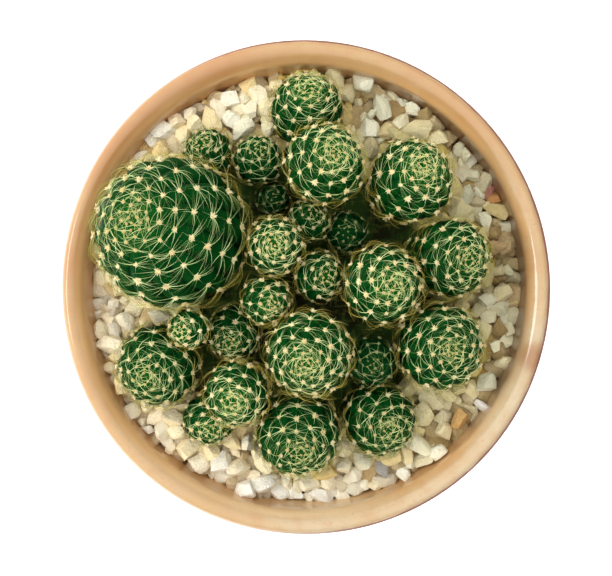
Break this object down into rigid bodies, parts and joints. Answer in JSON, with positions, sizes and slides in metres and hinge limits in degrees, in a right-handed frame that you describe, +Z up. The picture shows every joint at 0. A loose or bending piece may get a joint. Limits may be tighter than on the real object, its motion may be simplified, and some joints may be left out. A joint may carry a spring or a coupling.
{
  "type": "potted echinopsis calochlora",
  "caption": "Clump of ribbed, spiny green cactus heads growing in a round glazed bowl filled with soil and topped with cream stone chips.",
  "frame": {"origin": "middle of the pot's foot, on the surface it stands on", "axes": "+Z up; +Y to the top of the picture and +X to its right, so the large leaning head is on the -X side"},
  "size_m": [0.2, 0.2, 0.133],
  "materials": {
    "glazed_clay": "gloss",
    "soil": "matte",
    "stone_chips": "matte",
    "cactus": "satin"
  },
  "bodies": {
    "root": {"pot": "glazed_clay", "soil": "soil", "gravel": "stone_chips", "head_01": "cactus", "head_02": "cactus", "head_03": "cactus", "head_04": "cactus", "head_05": "cactus", "head_06": "cactus", "head_07": "cactus", "head_08": "cactus", "head_09": "cactus", "head_10": "cactus", "head_11": "cactus", "head_12": "cactus", "head_13": "cactus", "head_14": "cactus", "head_15": "cactus", "head_16": "cactus", "head_17": "cactus", "head_18": "cactus", "head_19": "cactus", "head_20": "cactus", "head_21": "cactus", "head_22": "cactus", "head_23": "cactus", "head_24": "cactus"}
  },
  "joints": []
}
